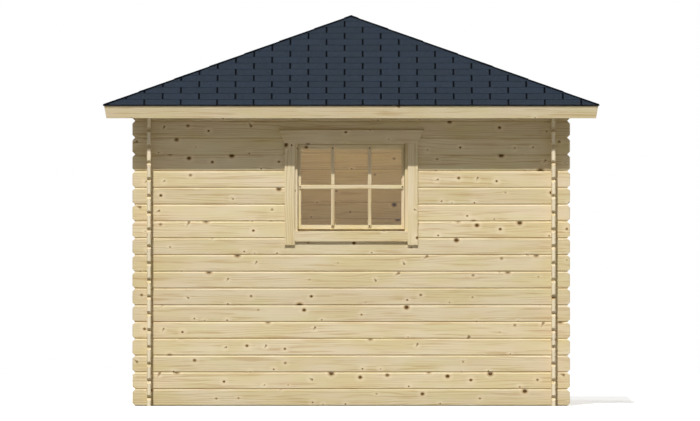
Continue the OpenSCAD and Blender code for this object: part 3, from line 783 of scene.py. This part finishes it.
SASH_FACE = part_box("sash_stiles")[0].y + WALL_HALF
PANE_LOW, PANE_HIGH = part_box("window_glass")
GLASS_FRONT = PANE_LOW.y + WALL_HALF
PANE_HALF = PANE_HIGH.x - GLASS_REBATE
PANE_FOOT, PANE_TOP = PANE_LOW.z + GLASS_REBATE, PANE_HIGH.z - GLASS_REBATE
BAR_W = 0.024
CROSSBAR_H = 0.027
BAR_PROUD = 0.010
BAR_EDGE = 0.003
BAR_LAP = 0.013
CROSSBAR_Z = 1.502
BAR_X = 0.1265
BACK_BAR_HALF = 0.008
BACK_BAR_EDGE = 0.001
PIN_INSET = 0.0065
PIN_R = 0.0050
PIN_H = 0.0022
SPLIT = 0.0004


def window_bars(wood_across, wood_up, pin_shade):
    """A lattice of two upright bars and a crossbar in front of the glass, pinned to the sash.
    A narrower bar behind each fills the depth up to the glass."""
    front, back = SASH_FACE - BAR_PROUD, SASH_FACE - SPLIT
    inside = GLASS_FRONT - SPLIT
    low, high = CROSSBAR_Z - CROSSBAR_H / 2, CROSSBAR_Z + CROSSBAR_H / 2
    back_low, back_high = CROSSBAR_Z - BACK_BAR_HALF, CROSSBAR_Z + BACK_BAR_HALF
    bm = bmesh.new()
    reach = PANE_HALF + BAR_LAP
    add_block(bm, FRONT, (-reach, front, low), (reach, back, high), BAR_EDGE)
    inner = PANE_HALF - SPLIT
    add_block(bm, FRONT, (-inner, SASH_FACE, back_low), (inner, inside, back_high), BACK_BAR_EDGE)
    finished("window_crossbar", bm, [wood_across], "joinery_wood")
    bm = bmesh.new()
    for x in (-BAR_X, BAR_X):
        left, right = x - BAR_W / 2, x + BAR_W / 2
        for foot, top in ((PANE_FOOT - BAR_LAP, low - SPLIT), (high + SPLIT, PANE_TOP + BAR_LAP)):
            add_block(bm, FRONT, (left, front, foot), (right, back, top), BAR_EDGE)
        left, right = x - BACK_BAR_HALF, x + BACK_BAR_HALF
        for foot, top in ((PANE_FOOT + SPLIT, back_low - SPLIT), (back_high + SPLIT, PANE_TOP - SPLIT)):
            add_block(bm, FRONT, (left, SASH_FACE, foot), (right, inside, top), BACK_BAR_EDGE)
    finished("window_upright_bars", bm, [wood_up], "joinery_wood")
    bm = bmesh.new()
    # Pin heads at the bar ends, dark as painted shade for the gaps there
    ends = [(side * (PANE_HALF + PIN_INSET), CROSSBAR_Z) for side in (-1, 1)]
    ends += [(x, z) for x in (-BAR_X, BAR_X) for z in (PANE_FOOT - PIN_INSET, PANE_TOP + PIN_INSET)]
    for x, z in ends:
        add_dome(bm, on_wall(FRONT, x, front, z), Vector((0, -1, 0)), PIN_R, PIN_H)
    finished("window_bar_pins", bm, [pin_shade], "handle_metal")


# Door, with depths from the wall's outer face and the right leaf's places along the wall

LEAF_LOW, LEAF_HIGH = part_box("door_leaf_right")
LEAF_FACE, LEAF_BACK = WALL_HALF - LEAF_HIGH.x, WALL_HALF - LEAF_LOW.x
LEAF_GLASS_LOW, LEAF_GLASS_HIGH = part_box("door_glass")
LEAF_GLASS_FRONT, LEAF_GLASS_BACK = WALL_HALF - LEAF_GLASS_HIGH.x, WALL_HALF - LEAF_GLASS_LOW.x
LEAF_RIGHT = LEAF_GLASS_HIGH.y - GLASS_REBATE
LEAF_STILE = LEAF_HIGH.y - LEAF_RIGHT
LEAF_LEFT = LEAF_LOW.y + LEAF_STILE
LEAF_PANE_FOOT, LEAF_PANE_TOP = LEAF_GLASS_LOW.z + GLASS_REBATE, LEAF_GLASS_HIGH.z - GLASS_REBATE
LEAF_PANEL_FOOT, LEAF_PANEL_TOP = 0.2455, 0.8855
LEAF_PANEL_RECESS = 0.011
LEAF_BAR_RECESS = 0.002
PANEL_BOARDS = 6
PANEL_BOARD_T = 0.0055
PANEL_BOARD_EDGE = 0.0024
PANE_ROWS = 3


def span(side, low, high):
    """The ends of a stretch along the door wall, on the right leaf for 1 or the left leaf for -1."""
    return (low, high) if side > 0 else (-high, -low)


def door_bars(name, side, wood_up, wood_across):
    """Glazing bars on both faces of one leaf's glass."""
    layers = ((LEAF_FACE + LEAF_BAR_RECESS, LEAF_GLASS_FRONT - SPLIT),
              (LEAF_GLASS_BACK + SPLIT, LEAF_BACK - LEAF_BAR_RECESS))
    middle = (LEAF_LEFT + LEAF_RIGHT) / 2
    bar_left, bar_right = middle - BAR_W / 2, middle + BAR_W / 2
    foot, top = LEAF_PANE_FOOT + SPLIT, LEAF_PANE_TOP - SPLIT
    row_h = (LEAF_PANE_TOP - LEAF_PANE_FOOT) / PANE_ROWS
    ups, across = bmesh.new(), bmesh.new()
    for front, back in layers:
        x0, x1 = span(side, bar_left, bar_right)
        add_block(ups, RIGHT, (x0, front, foot), (x1, back, top), BAR_EDGE)
        for row in range(1, PANE_ROWS):
            z = LEAF_PANE_FOOT + row * row_h
            for low, high in ((LEAF_LEFT + SPLIT, bar_left - SPLIT),
                              (bar_right + SPLIT, LEAF_RIGHT - SPLIT)):
                x0, x1 = span(side, low, high)
                add_block(across, RIGHT, (x0, front, z - BAR_W / 2), (x1, back, z + BAR_W / 2), BAR_EDGE)
    finished("door_upright_bars_" + name, ups, [wood_up], "joinery_wood")
    finished("door_crossbars_" + name, across, [wood_across], "joinery_wood")


def door_panel(name, side, material):
    """Upright tongued boards on both faces of one leaf's lower panel."""
    bm = bmesh.new()
    cover = (LEAF_RIGHT - LEAF_LEFT) / PANEL_BOARDS
    outer, inner = LEAF_FACE + LEAF_PANEL_RECESS, LEAF_BACK - LEAF_PANEL_RECESS
    foot, top = LEAF_PANEL_FOOT + SPLIT, LEAF_PANEL_TOP - SPLIT
    for board in range(PANEL_BOARDS):
        low = LEAF_LEFT + board * cover + SPLIT
        x0, x1 = span(side, low, low + cover - 2 * SPLIT)
        for front, back in ((outer - PANEL_BOARD_T, outer), (inner, inner + PANEL_BOARD_T)):
            add_block(bm, RIGHT, (x0, front, foot), (x1, back, top), PANEL_BOARD_EDGE, 1)
    finished("door_panel_boards_" + name, bm, [material], "joinery_wood")


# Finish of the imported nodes. HALVES gives solids on either side of the middle a grain each

EDGE_SOFTENING = 0.0012
METAL_SOFTENING = 0.0004
SOFT_SEGMENTS = 2
WELD_REACH = 0.00002
FLAT_ANGLE = math.radians(1)
SHARP_ANGLE = math.radians(30)
NORMAL_WEIGHT = 90
HALVES = (2.0, 10.0)
LOG_SEED, LOG_SEED_STEP = 5.3, 7.7
TRIM_SEED, TRIM_SEED_STEP = 53.0, 3.7
LOG_WALLS = (("front", "xzy", 0.0), ("back", "xzy", 0.0),
             ("left", "yzx", LOG_HEIGHT / 2), ("right", "yzx", LOG_HEIGHT / 2))
TRIMS = (
    ("fascia_front", "xzy", None), ("fascia_back", "xzy", None),
    ("fascia_left", "yzx", None), ("fascia_right", "yzx", None),
    ("window_head_casing", "xzy", None), ("window_sill_casing", "xzy", None),
    ("window_side_casings", "zxy", HALVES), ("window_jambs", "zxy", HALVES),
    ("window_head_and_sill", "xzy", HALVES), ("sash_stiles", "zxy", HALVES),
    ("sash_rails", "xzy", HALVES), ("door_head_casing", "yzx", None),
    ("door_side_casings", "zyx", HALVES), ("door_jambs", "zyx", HALVES),
    ("door_head", "yzx", None), ("door_threshold", "yzx", None),
)


def soften(node, width=EDGE_SOFTENING):
    """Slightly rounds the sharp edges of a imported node."""
    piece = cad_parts[node]
    weld = piece.modifiers.new("weld", "WELD")
    weld.merge_threshold = WELD_REACH
    flat = piece.modifiers.new("flat", "DECIMATE")
    flat.decimate_type = "DISSOLVE"
    flat.angle_limit = FLAT_ANGLE
    bevel = piece.modifiers.new("bevel", "BEVEL")
    bevel.width = width
    bevel.segments = SOFT_SEGMENTS
    bevel.limit_method = "ANGLE"
    bevel.angle_limit = SHARP_ANGLE
    even = piece.modifiers.new("even", "WEIGHTED_NORMAL")
    even.weight = NORMAL_WEIGHT


def dress(node, material):
    """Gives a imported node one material."""
    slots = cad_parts[node].data.materials
    slots.clear()
    slots.append(material)


def dress_nodes():
    """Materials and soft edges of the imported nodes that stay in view."""
    for number, (wall, axes, offset) in enumerate(LOG_WALLS):
        logs = wood("logs_" + wall, axes, LOG_SEED + LOG_SEED_STEP * number, strip=(LOG_HEIGHT, offset))
        dress(wall + "_logs_odd", logs)
        dress(wall + "_logs_even", logs)
    for number, (node, axes, strip) in enumerate(TRIMS):
        seed = TRIM_SEED + TRIM_SEED_STEP * number
        dress(node, wood("wood_" + node, axes, seed, strip, knots=TRIM_KNOTS, shades=TRIM_SHADES))
        soften(node)
    for node, seed in (("door_leaf_left", 103.0), ("door_leaf_right", 107.0)):
        dress(node, wood("wood_" + node, "zyx", seed, rails=(LEAF_LEFT, LEAF_RIGHT)))
        soften(node)
    for node, axes, seed in (("hip_rafters", "rzs", 91.0), ("common_rafters", "rzs", 97.0),
                             ("king_block", "zxy", 101.0)):
        dress(node, wood("wood_" + node, axes, seed))
    glass = glass_material()
    dress("window_glass", glass)
    dress("door_glass", glass)
    dress("door_handle", steel_material("brushed_steel", HANDLE_STEEL, HANDLE_ROUGHNESS))
    dress("door_hinges", steel_material("hinge_steel", HINGE_STEEL, HINGE_ROUGHNESS))
    soften("door_handle", METAL_SOFTENING)
    soften("door_hinges", METAL_SOFTENING)


def dress_roof():
    """Shingles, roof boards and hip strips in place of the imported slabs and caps."""
    # The felt's near-black colour is painted shade in the slots between the tabs
    covering = [shingle_material(), felt_material("roofing_felt_painted_slot_shade", SLOT_SHADE_FELT_DARK, SLOT_SHADE_FELT_LIGHT)]
    strip = felt_material("hip_strip", STRIP_DARK, STRIP_LIGHT)
    planks_x = wood("planks_x", "xyz", 113.0, islands=True)
    planks_y = wood("planks_y", "yxz", 127.0, islands=True)
    for side, turn in SIDES.items():
        shingled_side(side, turn, covering)
        boarded_side(side, turn, planks_x if side in ("front", "back") else planks_y)
    for corner, turn in (("front_right", FRONT), ("back_right", RIGHT),
                         ("back_left", BACK), ("front_left", LEFT)):
        hip_strips(corner, turn, strip)


def dress_openings():
    """Bars, pins and panel boards of the window and the door."""
    # The pins' near-black colour is painted shade
    pin_shade = pin_shade_material()
    bar_across = wood("bar_across", "xzy", 131.0, knots=NO_KNOTS)
    bars_up = wood("bars_up", "zxy", 137.0, islands=True, knots=NO_KNOTS)
    window_bars(bar_across, bars_up, pin_shade)
    door_ups = wood("door_bars_up", "zyx", 139.0, islands=True, knots=NO_KNOTS)
    door_across = wood("door_bars_across", "yzx", 149.0, islands=True, knots=NO_KNOTS)
    boards = wood("door_boards", "zyx", 151.0, islands=True)
    for name, side in (("left", -1), ("right", 1)):
        door_bars(name, side, door_ups, door_across)
        door_panel(name, side, boards)


# Stage, light and camera. Each sun has a direction of travel, a strength and an angle

FLOOR_HALF = 14.0
FLOOR_GLOW = 0.42
FLOOR_PALE, FLOOR_DARK = (0.62, 0.62, 0.62, 1.0), (0.26, 0.26, 0.25, 1.0)
GROUND_INSIDE = (0.5, 0.49, 0.46, 1.0)
FLOOR_NOISE = (60.0, 2.0)
FLOOR_ROUGHNESS = (0.2, 0.8, 0.85, 0.95)
WORLD_STRENGTH = 0.25
SUNS = (
    ("sun", Vector((0.17, 1.0, -1.28)), 3.24, math.radians(1.2)),
    ("fill_right", Vector((-1.0, -0.55, -0.85)), 1.6, math.radians(12)),
    ("fill_left", Vector((0.9, -0.75, -0.85)), 1.1, math.radians(12)),
)
ROOM_LAMP_PLACE = (0.0, 0.3, 1.95)
ROOM_LAMP_SIZE = 0.35
ROOM_LAMP_POWER = 12.5
ROOM_LAMP_COLOUR = (1.0, 0.79, 0.47)
PHOTO_WIDTH, PHOTO_HEIGHT = 700, 421
METRES_PER_PIXEL = 0.006856
CENTRE_PIXEL_X, GROUND_PIXEL_Y = 351.2, 406.0
CAMERA_DISTANCE = 132.0
CAMERA_HEIGHT = 2.0
SENSOR = 36.0


def shown_directly(nodes, links):
    """A socket that is 1 for rays from the camera, mirrors and glass."""
    path = nodes.new("ShaderNodeLightPath")
    most = path.outputs["Is Camera Ray"]
    for name in ("Is Glossy Ray", "Is Transmission Ray"):
        larger = nodes.new("ShaderNodeMath")
        larger.operation = "MAXIMUM"
        links.new(most, larger.inputs[0])
        links.new(path.outputs[name], larger.inputs[1])
        most = larger.outputs[0]
    return most


def floor_material(name, glow, pale, dark):
    """A floor that shows pale, throws little light back up and is clear from below."""
    graph = Graph(name)
    seen = shown_directly(graph.nodes, graph.links)
    grain = graph.noise(graph.place(), *FLOOR_NOISE)
    graph.set(Base_Color=graph.mix(seen, dark, pale), Roughness=graph.fade(grain, *FLOOR_ROUGHNESS),
              Specular_IOR_Level=0.0, Emission_Color=WHITE, Emission_Strength=graph.times(seen, glow))
    return graph.clear_where(graph.add("NewGeometry").outputs["Backfacing"])


def make_floor():
    """A plain floor, with the ground inside the walls as a square of its own."""
    bm = bmesh.new()
    corners = ((-1, -1), (1, -1), (1, 1), (-1, 1))
    inner, outer = ([bm.verts.new((x * half, y * half, 0.0)) for x, y in corners]
                    for half in (WALL_HALF - WALL_T / 2, FLOOR_HALF))
    bm.faces.new(inner).material_index = 1
    for i in range(4):
        j = (i + 1) % 4
        bm.faces.new((outer[i], outer[j], inner[j], inner[i]))
    mesh = bpy.data.meshes.new("floor")
    bm.to_mesh(mesh)
    bm.free()
    mesh.materials.append(floor_material("floor_pale", FLOOR_GLOW, FLOOR_PALE, FLOOR_DARK))
    mesh.materials.append(floor_material("ground_inside", 0.0, GROUND_INSIDE, GROUND_INSIDE))
    floor = bpy.data.objects.new("floor", mesh)
    bpy.context.scene.collection.objects.link(floor)


def make_world():
    """A white surround that shows fully but lights weakly."""
    world = bpy.data.worlds.new("studio")
    bpy.context.scene.world = world
    world.use_nodes = True
    nodes, links = world.node_tree.nodes, world.node_tree.links
    background = nodes["Background"]
    background.inputs["Color"].default_value = WHITE
    strength = nodes.new("ShaderNodeMapRange")
    links.new(shown_directly(nodes, links), strength.inputs["Value"])
    strength.inputs["To Min"].default_value = WORLD_STRENGTH
    strength.inputs["To Max"].default_value = 1.0
    links.new(strength.outputs[0], background.inputs["Strength"])


def make_lamps():
    """The sun and two weak fills from behind, and a warm lamp that stands for light inside."""
    for name, travel, strength, angle in SUNS:
        sun = bpy.data.lights.new(name, "SUN")
        sun.energy = strength
        sun.angle = angle
        lamp = bpy.data.objects.new(name, sun)
        lamp.rotation_euler = travel.to_track_quat("-Z", "Y").to_euler()
        bpy.context.scene.collection.objects.link(lamp)
    room = bpy.data.lights.new("room", "POINT")
    room.shadow_soft_size = ROOM_LAMP_SIZE
    room.energy = ROOM_LAMP_POWER
    room.color = ROOM_LAMP_COLOUR
    lamp = bpy.data.objects.new("room", room)
    lamp.location = ROOM_LAMP_PLACE
    lamp.visible_camera = False
    lamp.visible_glossy = False
    lamp.visible_transmission = False
    bpy.context.scene.collection.objects.link(lamp)


def make_camera():
    """A far camera before the window wall at eave height, for a view with hardly any perspective."""
    data = bpy.data.cameras.new("camera")
    data.sensor_width = SENSOR
    data.lens = SENSOR * CAMERA_DISTANCE / (PHOTO_WIDTH * METRES_PER_PIXEL)
    data.clip_end = 4 * CAMERA_DISTANCE
    camera = bpy.data.objects.new("camera", data)
    aim_x = (PHOTO_WIDTH / 2 - CENTRE_PIXEL_X) * METRES_PER_PIXEL
    aim_z = (GROUND_PIXEL_Y - PHOTO_HEIGHT / 2) * METRES_PER_PIXEL
    camera.location = (aim_x, -WALL_HALF - CAMERA_DISTANCE, CAMERA_HEIGHT)
    gaze = Vector((0.0, CAMERA_DISTANCE, aim_z - CAMERA_HEIGHT))
    camera.rotation_euler = gaze.to_track_quat("-Z", "Y").to_euler()
    bpy.context.scene.collection.objects.link(camera)
    bpy.context.scene.camera = camera


make_camera()
make_floor()
make_world()
make_lamps()
dress_nodes()
dress_roof()
dress_openings()
bpy.context.scene.view_settings.view_transform = "Standard"
